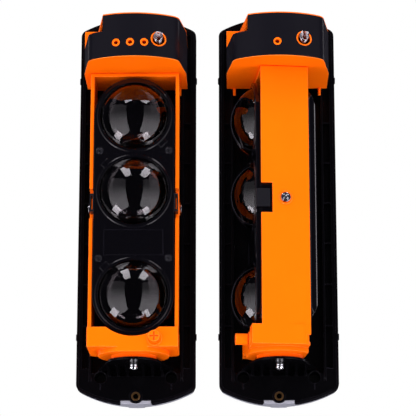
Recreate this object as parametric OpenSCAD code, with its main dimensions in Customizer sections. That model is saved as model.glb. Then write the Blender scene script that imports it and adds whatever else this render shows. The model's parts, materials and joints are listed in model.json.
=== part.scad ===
// Gate safety photocell: a wall-mounted beam receiver and transmitter, shown without covers.
// Millimetres. +Z is up, -Y faces the viewer, and Y = 0 is the wall behind both units.
// The origin lies in the wall plane, midway between the two units and at their mid-height.
// Inside a unit, y = 0 is the front plane of the base's rim. On a swing frame, y = 0 is its pan axis.

/* [Pair] */
// Clear gap between the receiver's base and the transmitter's base
unit_gap = 15; // [6:1:120]
// Turn of the transmitter's optics about the pan axis at rest, in degrees
transmitter_rest = -84; // [-90:1:-60]

/* [Base] */
// Height of the bowed end above the straight sides
base_rise = 10.2; // [6:0.2:16]
// Radius of the base's four corners
base_corner_r = 5; // [4.4:0.2:9]
// Depth of the base's outer wall
skirt_depth = 8.4; // [6:0.2:10]
// Depth of the base from rim to the back of its floor
base_depth = 12.4; // [11.4:0.2:14.8]
// Thickness of the floor behind the optics
base_floor_t = 2; // [1.2:0.2:3]
// Depth of the land and bay edges below the rim
land_recess = 1; // [0.5:0.1:2]
// Thickness of the land at the lower end
land_t = 2.2; // [1.4:0.2:4]
// Width of the flat rim
rim_t = 1.6; // [1.2:0.1:2.4]
// Width of the step between the rim and the side channels
side_step = 2; // [1:0.1:2.4]
// Width of a side channel
channel_w = 4.4; // [3.4:0.1:9]
// Height of the plain end above the head
base_head_cover = 12.8; // [8:0.2:30]

/* [Wall plate] */
// Depth of the mounting plate's tray
plate_depth = 9.6; // [8:0.2:16]
// Thickness of the mounting plate's floor
plate_floor_t = 2.5; // [1.6:0.1:2.8]
// Thickness of the mounting plate's rim
plate_rim_t = 1.8; // [1.2:0.1:2]
// Distance that the plate's edge is set in from the base's edge
plate_inset = 0.8; // [0.4:0.1:1]
// Radius of a wall screw hole
wall_hole_r = 2.3; // [1.5:0.1:3.5]
// Height between the two wall screws of one unit
wall_hole_pitch = 140; // [90:1:160]

/* [Head] */
// Half width of the head's curved front face
head_front_half = 28.3; // [26:0.1:30]
// Distance that the cheeks stand out from the front face on each side
head_flare = 4.3; // [3:0.1:5.4]
// Reach of the head's front in front of the rim
head_reach = 75.6; // [70:0.2:90]
// Depth of the front face's curve
head_sag = 9.4; // [7:0.2:12]
// Reach of the widest point of the cheeks
head_cheek_reach = 38.6; // [30:0.2:48]
// Reach of the head's open back
head_back_reach = 7.2; // [5:0.2:10]
// Height of the head
head_h = 28.9; // [26:0.1:40]
// Wall thickness of the head
head_wall = 1.8; // [1.2:0.1:2.4]
// Thickness of the dark front cover of the head
fascia_t = 1.5; // [1:0.1:2]
// Height of the step cut out of the upper corner
step_h = 11.1; // [8:0.1:13]
// Width of the step at the front
step_w = 8.4; // [6:0.1:9]

/* [Indicators and tamper switch] */
// Spacing between indicator lamps
lamp_pitch = 8.85; // [7:0.05:9.5]
// Radius of the hole for a lamp
lamp_hole_r = 1.35; // [1:0.05:1.6]
// Radius of the orange collar around a lamp
lamp_collar_r = 2.5; // [2.1:0.1:3]
// Sideways place of the tamper switch
tamper_x = 16; // [14:0.1:18]
// Radius of the tamper switch's collar
tamper_collar_r = 4.8; // [4.4:0.1:5.2]
// Radius of the opening in that collar
tamper_hole_r = 3.9; // [3.6:0.05:4]
// Travel of the tamper plunger
tamper_travel = 2.5; // [1:0.1:3]

/* [Swing frame] */
// Distance of the pan axis in front of the rim
pan_reach = 27.5; // [26:0.1:34]
// Wall thickness of an arm
arm_t = 2.2; // [1.6:0.1:3]
// Reach of an arm in front of the pan axis
arm_front = 14.1; // [12.5:0.1:15]
// Reach of an arm behind the pan axis
arm_rear = 16; // [13:0.1:17]
// Thickness of the top bar and of the bottom plate
bar_t = 2; // [1.4:0.1:2.2]
// Height of the block below the lower lens
block_h = 12.3; // [10:0.1:14]
// Depth of the sight notch in an arm
notch_deep = 7; // [5:0.1:7.4]
// Height of the sight notch
notch_h = 19.2; // [18.8:0.2:24]
// Radius of the large pan disc
big_disc_r = 22.2; // [19:0.1:23]
// Height of the large pan disc
big_disc_h = 3; // [2:0.1:6]
// Radius of the small pan disc
small_disc_r = 14.2; // [10:0.1:16]
// Height of the small pan disc
small_disc_h = 2.2; // [1.6:0.1:6]

/* [Lens unit] */
// Width of the lens unit
panel_w = 50.5; // [49.6:0.1:52]
// Distance between the upper and the middle lens
lens_gap_upper = 49; // [48.6:0.1:60]
// Distance between the middle and the lower lens
lens_gap_lower = 66.5; // [64:0.5:80]
// Radius of a lens
lens_r = 21.5; // [20:0.1:22.2]
// Height of a lens dome
lens_h = 13.4; // [8:0.1:16]
// Reach of the panel's face in front of the pan axis
panel_front = 17; // [15.5:0.1:17.6]
// Thickness of the lens panel
panel_t = 3; // [2.4:0.1:4]
// Reach of the lens unit's back behind the pan axis
box_rear = 22.7; // [20:0.1:23]
// Wall thickness of the lens unit
box_wall = 1.6; // [1.2:0.1:2]
// Distance of the tilt axis behind the pan axis
tilt_back = 1; // [0:0.1:2]
// Height of the tilt axis above the lower lens
tilt_rise = 59; // [56:0.5:62]

/* [Adjusters] */
// Radius of the tilt knob
knob_r = 3.5; // [3:0.1:4]
// Length of the tilt knob
knob_len = 7.8; // [6:0.1:12]
// Sideways place of the tilt knob
knob_x = 13.65; // [12:0.05:15]
// Radius of the tilt screw's shaft
shaft_r = 1.5; // [1.2:0.05:1.8]
// Radius of the pan screw's shank
pan_shank_r = 2; // [1.5:0.05:2.4]
// Radius of the pan screw's head
pan_head_r = 2.7; // [2.5:0.1:3.2]

/* [Shelf] */
// Height of the shelf's upper face above the lower end of the straight sides
shelf_rise = 13; // [11:0.1:18]
// Thickness of the shelf
shelf_t = 1.5; // [1.2:0.1:3]
// Radius of the shelf's rounded front, which is centred on the pan axis
shelf_r = 16.2; // [14:0.1:18]
// Half width of the shelf where it meets the base
shelf_half = 23.8; // [21:0.1:26]
// Depth of the land's slots below the shelf
slot_h = 3.2; // [2:0.1:5]

/* [Hidden] */

// Sides of the two units
receiver = -1;
transmitter = 1;

// Clearances
over = 1;
run_gap = 0.3;
screw_fit = 0.05;
seat_fit = 0.1;

// Facets of round pieces and the steps of drawn arcs
$fn = 64;
corner_steps = 6;
bow_steps = 24;

// Colours
orange_plastic = [1.0, 0.46, 0.03];
black_plastic = [0.10, 0.10, 0.12];
grey_plastic = [0.72, 0.73, 0.76];
board_green = [0.08, 0.30, 0.16];
chrome_metal = [0.82, 0.83, 0.85];
brass_metal = [0.80, 0.62, 0.32];
lens_tint = [0.55, 0.58, 0.62];
lamp_red = [0.55, 0.10, 0.04];
component_black = [0.05, 0.05, 0.06];

// Widths and depths that follow from the lens unit outwards
box_gap = 0.65;
panel_half = panel_w / 2;
arm_inner = panel_half + box_gap;
frame_half = arm_inner + arm_t;
ring_h = 0.6;
block_gap = 0.7;
block_t = 2;
foot_front = panel_front + ring_h + block_gap + block_t;
rail_gap = 0.4;
rail_t = 1.5;
bay_half = frame_half + rail_gap;
channel_in = bay_half + rail_t;
channel_out = channel_in + channel_w;
base_w = 2 * (channel_out + side_step + rim_t);
bay_depth = base_depth - base_floor_t;
wall_to_rim = skirt_depth + plate_depth;
nest_gap = 0.3;
nest_inset = plate_inset + plate_rim_t + nest_gap;
channel_depth = skirt_depth - base_floor_t;
unit_pitch = base_w + unit_gap;

// Heights from the shelf up to the head
box_lift = 7.95;
head_room = 1.95;
box_h = panel_w + lens_gap_upper + lens_gap_lower;
frame_h = box_lift + box_h + head_room + bar_t;
side_h = shelf_rise + run_gap + small_disc_h + big_disc_h + frame_h + run_gap + head_h + base_head_cover;
side_top = side_h / 2;
side_bottom = -side_h / 2;
shelf_top = side_bottom + shelf_rise;
shelf_bottom = shelf_top - shelf_t;
frame_bottom = shelf_top + run_gap + small_disc_h + big_disc_h;
frame_top = frame_bottom + frame_h;
head_bottom = frame_top + run_gap;
head_top = head_bottom + head_h;
box_bottom = frame_bottom + box_lift;
box_top = box_bottom + box_h;
lens_lower_z = box_bottom + panel_half;
lens_middle_z = lens_lower_z + lens_gap_lower;
lens_upper_z = lens_middle_z + lens_gap_upper;
tilt_z = lens_lower_z + tilt_rise;

// The base's bowed ends and fillets share these centres at every inset
bow_r = (pow(base_w / 2, 2) + pow(base_rise, 2)) / (2 * base_rise);
bow_z = side_top + base_rise - bow_r;
fillet_x = base_w / 2 - base_corner_r;
fillet_z = bow_z + sqrt(pow(bow_r - base_corner_r, 2) - pow(fillet_x, 2));
fillet_end = atan2(fillet_z - bow_z, fillet_x);

// The head's front face is one arc through its middle and its corners
head_half = head_front_half + head_flare;
head_corner_reach = head_reach - head_sag;
head_arc_r = (pow(head_front_half, 2) + pow(head_sag, 2)) / (2 * head_sag);
head_arc_y = head_reach - head_arc_r;

// Land, bay and the details on the base
land_drop = 1.6;
land_top = shelf_bottom - land_drop;
pocket_wall = 1.4;
groove_t = 0.8;
groove_deep = 0.7;
channel_end_rise = 3.2;
channel_rib_t = 1;
channel_rib_pitch = 27;
rail_tail = 2.7;
access_r = 3.7;
access_x = 22.6;
access_drop = 2.8;
access_ring_t = 0.8;
ridge_t = 0.6;
ridge_h = 4;
ridge_raise = 0.4;
insert_r = 2.9;
insert_hole_r = 1.25;
insert_len = 6;
insert_drop = 4.8;
boss_r = 4.2;
boss_raise = 0.7;
notch_half = 10.2;
tongue_clear = 0.4;
tongue_t = 2.4;
centre_tongue_half = 5.2;
clip_w = 4;
clip_raise = 0.6;
clip_z_share = 0.36;
clip_d = 1.8;
gusset_t = 1.5;
gusset_first = 4.3;
gusset_pitch = 5.9;
pocket_reach = 24.5;
pocket_rise = 0.6;

// Head details
flange_bottom_t = 0.4;
flange_top_t = 0.7;
head_blend = 3.5;
board_t = 1.6;
board_back = 7.6;
board_margin = 1.2;
lamp_z_rise = 9.4;
tamper_z_rise = 12.1;
transmitter_lamp_x = -0.7;
lamp_recess = 2.5;
lamp_clear = 0.1;
switch_h = 6;
switch_clear = 0.5;
plunger_r = 1.3;
plunger_cap_r = 2.4;
plunger_cap_t = 1;
plunger_show = 0.4;
spring_wire_r = 0.35;
spring_curls = 5;
spring_base_r = 1.7;
spring_mouth_r = 2.75;
spring_len = 10;
curl_steps = 8;
wire_sides = 6;
pivot_r = 4;
pivot_h = 3;
pivot_wall = 2.4;
leg_r = 0.9;
leg_len = 5;
leg_inset = 4.9;
leg_in = 1.2;
seat_block_inset = 2;

// Frame details
crease_in = 0.8;
plate_corner = 5;
collar_r = 4.3;
collar_raise = 0.4;
screw_pocket_r = 3.3;
screw_head_r = 3;
screw_head_t = 1.6;
tilt_shank_r = 1.5;
tilt_shank_in = 4;
tilt_boss_r = 3.6;
knob_rise = 5;
knob_collar_r = 4.6;
knob_collar_t = 0.8;
knob_stand = 0.3;
cross_w = 0.9;
cross_span_share = 0.75;
cross_deep = 0.6;
arc_clear = 1.35;

// Lens unit details
ring_t = 2.2;
lens_seat = 1;
lens_lip = 1.5;
back_edge_r = 12;
back_end_r = 26;
edge_steps = 10;
panel_screw_r = 2.1;
panel_screw_x = 21.8;
panel_screw_upper = 26.2;
panel_screw_lower = 23.1;
panel_screw_sink = 1.2;
panel_screw_shank_r = 1.1;
panel_screw_len = 6;
screw_post_r = 2.6;
plate_frame_w = 37.4;
plate_frame_h = 16.5;
plate_frame_line = 0.5;
plate_frame_raise = 0.3;
tab_w = 5.6;
tab_raise = 0.4;
tab_reach = 24;
sight_w = 2.35;
sight_back = 8.6;
sight_h = 11.5;
sight_wall = 0.65;
optics_board_w = 26;
optics_board_gap = 3;
optics_post_r = 2.4;
optics_post_gap = 20;
sensor_r = 2.5;
sensor_h = 4;
sensor_base_r = 3.4;
sensor_base_h = 1;
fork_t = 1.2;
fork_tine = 1.2;
fork_back = 2.5;
fork_reach = 1.6;
shaft_rear = 15.5;

// Pan screw and washer
washer_t = 1.6;
washer_slit = 0.8;
pan_head_h = 1;
pan_tip_r = 2;
pan_tip_h = 1;

// Points of one bowed end, from its right side to its left side, set in by d
function end_points(d) = concat(
    [for (i = [0 : corner_steps]) let (a = fillet_end * i / corner_steps)
        [fillet_x + (base_corner_r - d) * cos(a), fillet_z + (base_corner_r - d) * sin(a)]],
    [for (i = [1 : bow_steps - 1]) let (a = fillet_end + (180 - 2 * fillet_end) * i / bow_steps)
        [(bow_r - d) * cos(a), bow_z + (bow_r - d) * sin(a)]],
    [for (i = [corner_steps : -1 : 0]) let (a = fillet_end * i / corner_steps)
        [-fillet_x - (base_corner_r - d) * cos(a), fillet_z + (base_corner_r - d) * sin(a)]]
);

// Outline of the base seen from the front, set in by d
function base_points(d) = concat(end_points(d), [for (p = end_points(d)) [-p[0], -p[1]]]);

// Depth of the head's curved front at x, set in by d
function head_depth(x, d) = head_arc_y + sqrt(pow(head_arc_r - d, 2) - x * x);

// Right half of the head's plan from its back to its middle, set in by d, with a blended corner
function head_half_points(d) =
    let (
        corner_x = head_front_half - d,
        corner = [corner_x, head_depth(corner_x, d)],
        cheek = [head_half - d, head_cheek_reach],
        run = norm(corner - cheek),
        from = corner + (cheek - corner) * head_blend / run,
        to_x = corner_x - head_blend,
        to = [to_x, head_depth(to_x, d)]
    )
    concat(
        [[head_half - d, head_back_reach], cheek],
        [for (i = [0 : corner_steps]) let (t = i / corner_steps)
            from * (1 - t) * (1 - t) + corner * 2 * t * (1 - t) + to * t * t],
        [for (i = [1 : bow_steps / 2]) let (x = to_x * (1 - 2 * i / bow_steps)) [x, head_depth(x, d)]]
    );

// Plan of the head, set in by d
function head_points(d) =
    let (half = head_half_points(d), last = len(half) - 1)
    concat(
        [for (p = half) [p[0], -p[1]]],
        [for (i = [last - 1 : -1 : 0]) [-half[i][0], -half[i][1]]]
    );

// Centre line of the tamper spring, one point for each ring of its wire
function spring_point(i) =
    let (t = i / (spring_curls * curl_steps), r = spring_base_r + (spring_mouth_r - spring_base_r) * t)
    [r * cos(360 * i / curl_steps), -spring_len * t, r * sin(360 * i / curl_steps)];

// Least clear gap between two turns of the spring, measured on the points of its centre line
spring_rings = spring_curls * curl_steps;
spring_gap = min([for (i = [0 : spring_rings - curl_steps + 2])
    min([for (j = [i + curl_steps - 2 : min(i + curl_steps + 2, spring_rings)])
        norm(spring_point(i) - spring_point(j))])]) - 2 * spring_wire_r;
echo(spring_gap = spring_gap);

// A flat shape drawn in x and z, made solid from y back by t
module facing(y, t) {
    translate([0, y + t, 0])
        rotate([90, 0, 0])
            linear_extrude(height = t) children();
}

// A flat shape drawn in y and z, made solid from x to the right by t
module sideways(x, t) {
    translate([x, 0, 0])
        rotate([90, 0, 90])
            linear_extrude(height = t) children();
}

// A flat shape drawn in x and y, made solid from z up by t
module upright(z, t) {
    translate([0, 0, z])
        linear_extrude(height = t) children();
}

// A round rod along y
module rod_y(x, z, y0, y1, r) {
    translate([x, y1, z])
        rotate([90, 0, 0])
            cylinder(h = y1 - y0, r = r);
}

// A round rod along x
module rod_x(x0, x1, y, z, r) {
    translate([x0, y, z])
        rotate([0, 90, 0])
            cylinder(h = x1 - x0, r = r);
}

// A round rod along z
module rod_z(x, y, z0, z1, r) {
    translate([x, y, z0])
        cylinder(h = z1 - z0, r = r);
}

// A box between two corners
module block(low, high) {
    translate(low) cube(high - low);
}

// Children on both sides of the middle plane
module both_sides() {
    children();
    mirror([1, 0, 0]) children();
}

// A cross recess for a screw of head radius r, facing -y, with its floor at y and its cross turned by lean
module cross_recess(x, z, y, r, lean) {
    half = r * cross_span_share;
    for (turn = [lean, lean + 90])
        translate([x, y, z])
            rotate([0, turn, 0])
                block([-half, -over, -cross_w / 2], [half, 0, cross_w / 2]);
}

// Place of one unit on the wall
module in_unit(side) {
    translate([side * unit_pitch / 2, -wall_to_rim, 0]) children();
}

// Place of a swing frame in its unit
module on_pan(angle) {
    translate([0, -pan_reach, 0])
        rotate([0, 0, angle]) children();
}

module wall_plate() {
    insert_z = side_bottom - insert_drop;
    tongue_half = notch_half - tongue_clear;
    tongue_low = side_bottom - base_rise;
    color(grey_plastic)
        difference() {
            union() {
                difference() {
                    facing(skirt_depth, plate_depth) polygon(base_points(plate_inset));
                    facing(skirt_depth - over, plate_depth - plate_floor_t + over)
                        polygon(base_points(plate_inset + plate_rim_t));
                }
                intersection() {
                    facing(land_recess, wall_to_rim - land_recess) polygon(base_points(tongue_clear));
                    difference() {
                        block(
                            [-tongue_half, land_recess, tongue_low],
                            [tongue_half, skirt_depth + over, tongue_low + tongue_t + tongue_clear]
                        );
                        rod_y(0, insert_z, 0, skirt_depth + 2 * over, boss_r + tongue_clear);
                    }
                }
                intersection() {
                    facing(skirt_depth, plate_depth) polygon(base_points(tongue_clear));
                    block(
                        [-centre_tongue_half, skirt_depth, tongue_low],
                        [centre_tongue_half, wall_to_rim, tongue_low + tongue_t + tongue_clear]
                    );
                }
            }
            for (z = [-wall_hole_pitch / 2, wall_hole_pitch / 2])
                rod_y(0, z, skirt_depth, wall_to_rim + over, wall_hole_r);
        }
}

// Inner rails and the ribs across the side channels
module base_rails() {
    rail_top = side_top - rim_t;
    rail_end = land_top - rail_tail;
    sideways(bay_half, rail_t)
        polygon([
            [0, rail_top],
            [0, rail_end],
            [land_recess, rail_end - rail_tail],
            [bay_depth + base_floor_t / 2, land_top - land_t],
            [bay_depth + base_floor_t / 2, rail_top]
        ]);
    rib_low = land_top + channel_end_rise + channel_rib_pitch;
    rib_back = channel_depth + base_floor_t / 2;
    for (z = [rib_low : channel_rib_pitch : head_bottom])
        block(
            [channel_in - rail_t / 2, land_recess, z],
            [channel_out + side_step / 2, rib_back, z + channel_rib_t]
        );
}

// Plan of the shelf: a nose round the pan axis, and sides that widen in straight lines to the base
function shelf_points() =
    let (
        lead = atan2(pan_reach, shelf_half) - acos(shelf_r / norm([pan_reach, shelf_half])),
        back_y = bay_depth + base_floor_t / 2
    )
    concat(
        [[-shelf_half, 0], [-shelf_half, back_y], [shelf_half, back_y], [shelf_half, 0]],
        [for (i = [0 : bow_steps]) let (a = lead - (180 + 2 * lead) * i / bow_steps)
            [shelf_r * cos(a), shelf_r * sin(a) - pan_reach]]
    );

// Shelf that carries the swing frame, with the wedge of gussets below it
module shelf() {
    wedge_half = gusset_first + 2 * gusset_pitch + gusset_t;
    upright(shelf_bottom, shelf_t) polygon(shelf_points());
    intersection() {
        upright(shelf_bottom - slot_h - over, slot_h + 2 * over) polygon(shelf_points());
        sideways(-wedge_half, 2 * wedge_half)
            polygon([
                [-pocket_reach, shelf_bottom + shelf_t / 2],
                [-pocket_reach, shelf_bottom],
                [land_recess, shelf_bottom - slot_h],
                [bay_depth, shelf_bottom - slot_h],
                [bay_depth, shelf_bottom + shelf_t / 2]
            ]);
    }
}

// Pocket between two gussets, open through the land below the shelf
module gusset_pocket(x0, x1) {
    block(
        [x0, -pocket_reach, shelf_bottom - slot_h],
        [x1, land_recess + land_t + over, shelf_bottom + pocket_rise]
    );
}

// Dark tray with its land, channels, rails, shelf and the seat behind the head
module base_shell() {
    insert_z = side_bottom - insert_drop;
    access_z = land_top - access_drop;
    low_end = side_bottom - base_rise;
    color(black_plastic)
        difference() {
            union() {
                difference() {
                    union() {
                        facing(0, skirt_depth) polygon(base_points(0));
                        facing(0, base_depth) polygon(base_points(nest_inset));
                    }
                    facing(-over, land_recess + over) polygon(base_points(rim_t));
                    block([-bay_half, 0, land_top], [bay_half, bay_depth, side_top - rim_t]);
                    both_sides()
                        block(
                            [channel_in, 0, land_top + channel_end_rise],
                            [channel_out, channel_depth, side_top - rim_t]
                        );
                    intersection() {
                        facing(land_recess + land_t, base_depth)
                            polygon(base_points(nest_inset + pocket_wall));
                        block([-base_w, 0, low_end], [base_w, base_depth + over, land_top - land_t]);
                    }
                }
                both_sides() base_rails();
                shelf();
                rod_y(0, insert_z, land_recess - boss_raise, base_depth, boss_r);
                both_sides() rod_y(access_x, access_z, land_recess, base_depth, access_r + access_ring_t);
                both_sides()
                    block(
                        [access_x - ridge_t / 2, land_recess - ridge_raise, access_z - access_r - ridge_h],
                        [access_x + ridge_t / 2, land_recess + land_t / 2, access_z - access_r]
                    );
                for (side = [-1, 1], end = [-1, 1])
                    translate([side * base_w / 2, rim_t + clip_d / 2, end * clip_z_share * side_h])
                        cube([2 * clip_raise, clip_d, clip_w], center = true);
                block(
                    [seat_block_inset - head_half, -head_back_reach, head_bottom + seat_block_inset],
                    [head_half - seat_block_inset, bay_depth + base_floor_t / 2, head_top - seat_block_inset]
                );
            }
            difference() {
                facing(-over, groove_deep + over) polygon(base_points(rim_t / 2));
                facing(-over, groove_deep + over) polygon(base_points(rim_t / 2 + groove_t));
            }
            rod_y(0, insert_z, -over, land_recess - boss_raise + insert_len, insert_r + screw_fit);
            both_sides() rod_y(access_x, access_z, -over, base_depth + over, access_r);
            gusset_pocket(-gusset_first, gusset_first);
            both_sides()
                for (i = [0, 1])
                    gusset_pocket(
                        gusset_first + i * gusset_pitch + gusset_t,
                        gusset_first + (i + 1) * gusset_pitch
                    );
            difference() {
                block(
                    [-notch_half, -over, low_end - over],
                    [notch_half, skirt_depth + over, low_end + tongue_t + 2 * tongue_clear]
                );
                rod_y(0, insert_z, -2 * over, base_depth + 2 * over, boss_r);
            }
            rod_z(0, -pan_reach, shelf_bottom - over, shelf_top + over, pan_shank_r + screw_fit);
            for (z = [-wall_hole_pitch / 2, wall_hole_pitch / 2])
                rod_y(0, z, bay_depth - over, base_depth + over, 2 * wall_hole_r);
        }
}

module cover_insert() {
    insert_z = side_bottom - insert_drop;
    front = land_recess - boss_raise;
    color(brass_metal)
        difference() {
            rod_y(0, insert_z, front, front + insert_len, insert_r);
            rod_y(0, insert_z, front - over, front + insert_len + over, insert_hole_r);
        }
}

// Region of the step that is cut out of the head's upper left corner, grown towards its middle by d
module step_region(d) {
    front_y = -head_reach - over;
    cheek_slope = (head_half - head_front_half) / (head_corner_reach - head_cheek_reach);
    front_x = step_w - head_front_half - (front_y + head_corner_reach) * cheek_slope;
    upright(head_top - step_h - d, step_h + d + over)
        polygon([
            [-head_half - over, front_y],
            [front_x + d, front_y],
            [step_w - head_half + d, -head_cheek_reach + d],
            [-head_half - over, -head_cheek_reach + d]
        ]);
}

// Places of the collars on the head's front, as x, z and radius
function collars(side) = concat(
    [[tamper_x, head_bottom + tamper_z_rise, tamper_collar_r]],
    [for (x = lamp_places(side)) [x, head_bottom + lamp_z_rise, lamp_collar_r]]
);

// Sideways places of a unit's lamps
function lamp_places(side) =
    side == transmitter ? [transmitter_lamp_x] : [for (i = [1 : 3]) tamper_x - i * lamp_pitch];

module head_housing(side) {
    board_y = board_back - head_corner_reach;
    color(orange_plastic)
        difference() {
            union() {
                difference() {
                    union() {
                        upright(head_bottom, flange_bottom_t) polygon(head_points(0));
                        upright(head_bottom, head_h) polygon(head_points(fascia_t + seat_fit));
                        upright(head_top - flange_top_t, flange_top_t) polygon(head_points(0));
                        intersection() {
                            upright(head_top - step_h, step_h) polygon(head_points(0));
                            block(
                                [-head_half, -head_cheek_reach, head_bottom],
                                [0, -head_back_reach, head_top]
                            );
                        }
                    }
                    difference() {
                        upright(head_bottom + head_wall, head_h - 2 * head_wall)
                            polygon(head_points(fascia_t + head_wall));
                        step_region(head_wall);
                    }
                    block(
                        [head_wall - head_half, -head_back_reach - head_wall, head_bottom + head_wall],
                        [head_half - head_wall, -head_back_reach + over, head_top - head_wall]
                    );
                    step_region(0);
                }
                intersection() {
                    for (c = collars(side)) rod_y(c[0], c[1], -head_reach, board_y, c[2]);
                    upright(head_bottom, head_h) polygon(head_points(0));
                }
                rod_z(0, -pan_reach, head_bottom, head_bottom + pivot_h + head_wall, pivot_r + pivot_wall);
            }
            for (x = lamp_places(side))
                rod_y(x, head_bottom + lamp_z_rise, -head_reach - over, board_y + over, lamp_hole_r);
            rod_y(tamper_x, head_bottom + tamper_z_rise, -head_reach - over, board_y + over, tamper_hole_r);
            rod_z(0, -pan_reach, head_bottom - over, head_bottom + pivot_h, pivot_r + screw_fit);
        }
}

// Legs under the rear corners of the head
module head_legs() {
    leg_x = head_half - leg_inset;
    leg_y = -head_back_reach - leg_in;
    color(orange_plastic)
        both_sides() rod_z(leg_x, leg_y, head_bottom - leg_len, head_bottom, leg_r);
}

module head_fascia(side) {
    low = head_bottom + flange_bottom_t + seat_fit;
    high = head_top - flange_top_t - seat_fit;
    color(black_plastic)
        difference() {
            upright(low, high - low) polygon(head_points(0));
            upright(low - over, high - low + 2 * over) polygon(head_points(fascia_t));
            upright(low - over, high - low + 2 * over)
                translate([-head_half - over, -head_back_reach - head_wall])
                    square([2 * head_half + 2 * over, head_reach]);
            block(
                [-head_half - over, -head_cheek_reach - seat_fit, head_top - step_h - seat_fit],
                [0, 0, head_top]
            );
            step_region(0);
            for (c = collars(side)) rod_y(c[0], c[1], -head_reach - over, -head_cheek_reach, c[2] + seat_fit);
        }
}

module head_board(side) {
    low = head_bottom + head_wall;
    high = head_top - head_wall;
    half = head_front_half - fascia_t - head_wall - board_margin;
    board_y = board_back - head_corner_reach;
    color(board_green)
        difference() {
            block([-half, board_y, low], [half, board_y + board_t, high]);
            step_region(head_wall + board_margin);
        }
}

module indicator_lamps(side) {
    board_y = board_back - head_corner_reach;
    z = head_bottom + lamp_z_rise;
    r = lamp_hole_r - lamp_clear;
    color(lamp_red)
        for (x = lamp_places(side)) {
            tip = -head_depth(x, 0) + lamp_recess;
            rod_y(x, z, tip + r, board_y, r);
            translate([x, tip + r, z])
                rotate([90, 0, 0])
                    intersection() {
                        sphere(r = r);
                        cylinder(h = r, r = r);
                    }
        }
}

// Front face of the tamper switch's body
function switch_face() = board_back - head_corner_reach - switch_h;

// Front face of the plunger's cap
function cap_face() = switch_face() - tamper_travel - plunger_show - plunger_cap_t;

module tamper_switch() {
    z = head_bottom + tamper_z_rise;
    board_y = board_back - head_corner_reach;
    color(component_black)
        difference() {
            rod_y(tamper_x, z, switch_face(), board_y, tamper_hole_r - switch_clear);
            rod_y(tamper_x, z, switch_face() - over, board_y + over, plunger_r + screw_fit);
        }
}

module tamper_plunger() {
    z = head_bottom + tamper_z_rise;
    color(orange_plastic) {
        rod_y(tamper_x, z, cap_face() + plunger_cap_t, switch_face() + plunger_show, plunger_r);
        rod_y(tamper_x, z, cap_face(), cap_face() + plunger_cap_t, plunger_cap_r);
    }
}

module tamper_spring() {
    rings = [for (i = [0 : spring_rings]) [for (j = [0 : wire_sides - 1])
        let (a = 360 * i / curl_steps, b = 360 * j / wire_sides)
        spring_point(i) + spring_wire_r * [cos(b) * cos(a), sin(b), cos(b) * sin(a)]]];
    points = [for (ring = rings) each ring];
    last = spring_rings * wire_sides;
    faces = concat(
        [for (j = [1 : wire_sides - 2]) [0, j, j + 1]],
        [for (i = [0 : spring_rings - 1], j = [0 : wire_sides - 1]) let (k = (j + 1) % wire_sides)
            [i * wire_sides + j, (i + 1) * wire_sides + j, (i + 1) * wire_sides + k]],
        [for (i = [0 : spring_rings - 1], j = [0 : wire_sides - 1]) let (k = (j + 1) % wire_sides)
            [i * wire_sides + j, (i + 1) * wire_sides + k, i * wire_sides + k]],
        [for (j = [1 : wire_sides - 2]) [last, last + j + 1, last + j]]
    );
    color(chrome_metal)
        translate([tamper_x, cap_face() - spring_wire_r, head_bottom + tamper_z_rise])
            polyhedron(points = points, faces = faces);
}

// Plan of one arm, with its outer face drawn in behind the crease
module arm_plan() {
    polygon([
        [arm_inner, -arm_front],
        [frame_half, -arm_front],
        [frame_half, tilt_back],
        [frame_half - crease_in, arm_rear],
        [arm_inner, arm_rear]
    ]);
}

// Plan of the swing frame's bottom plate, with rounded rear corners
function plate_points() = concat(
    [[-frame_half, -foot_front], [frame_half, -foot_front]],
    [for (i = [0 : corner_steps]) let (a = 90 * i / corner_steps)
        [frame_half - plate_corner * (1 - cos(a)), arm_rear - plate_corner * (1 - sin(a))]],
    [for (i = [corner_steps : -1 : 0]) let (a = 90 * i / corner_steps)
        [plate_corner * (1 - cos(a)) - frame_half, arm_rear - plate_corner * (1 - sin(a))]]
);

module swing_frame() {
    knob_z = frame_bottom + knob_rise;
    color(orange_plastic)
        difference() {
            union() {
                both_sides() {
                    upright(frame_bottom + block_h / 2, frame_h - block_h / 2) arm_plan();
                    upright(frame_bottom, block_h)
                        intersection() {
                            polygon(plate_points());
                            translate([arm_inner, -foot_front]) square([arm_t, foot_front + arm_rear]);
                        }
                    rod_x(arm_inner, frame_half + collar_raise, tilt_back, tilt_z, collar_r);
                }
                upright(frame_top - bar_t, bar_t)
                    translate([-arm_inner - arm_t / 2, -arm_front])
                        square([2 * arm_inner + arm_t, arm_front + arm_rear]);
                upright(frame_bottom, bar_t) polygon(plate_points());
                block(
                    [-frame_half, -foot_front, frame_bottom],
                    [frame_half, block_t - foot_front, frame_bottom + block_h]
                );
                rod_y(knob_x, knob_z, -foot_front - knob_collar_t, block_t - foot_front, knob_collar_r);
                upright(frame_bottom - big_disc_h, big_disc_h + bar_t / 2)
                    intersection() {
                        circle(big_disc_r);
                        polygon(plate_points());
                    }
                rod_z(0, 0, shelf_top + run_gap, frame_bottom + bar_t / 2, small_disc_r);
                rod_z(0, 0, frame_top - bar_t, frame_top + pivot_h, pivot_r);
            }
            both_sides() {
                block(
                    [arm_inner - over, -arm_front - over, tilt_z - notch_h / 2],
                    [frame_half + over, notch_deep - arm_front, tilt_z + notch_h / 2]
                );
                rod_x(frame_half - collar_raise, frame_half + over, tilt_back, tilt_z, screw_pocket_r);
                rod_x(arm_inner - over, frame_half + over, tilt_back, tilt_z, tilt_shank_r + screw_fit);
            }
            rod_y(0, lens_lower_z, -foot_front - over, block_t - foot_front + over, panel_half + arc_clear);
            rod_y(knob_x, knob_z, -foot_front - 2 * over, block_t - foot_front + over, shaft_r + screw_fit);
            rod_z(0, 0, shelf_top, frame_bottom + bar_t + over, pan_shank_r + screw_fit);
        }
}

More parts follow.
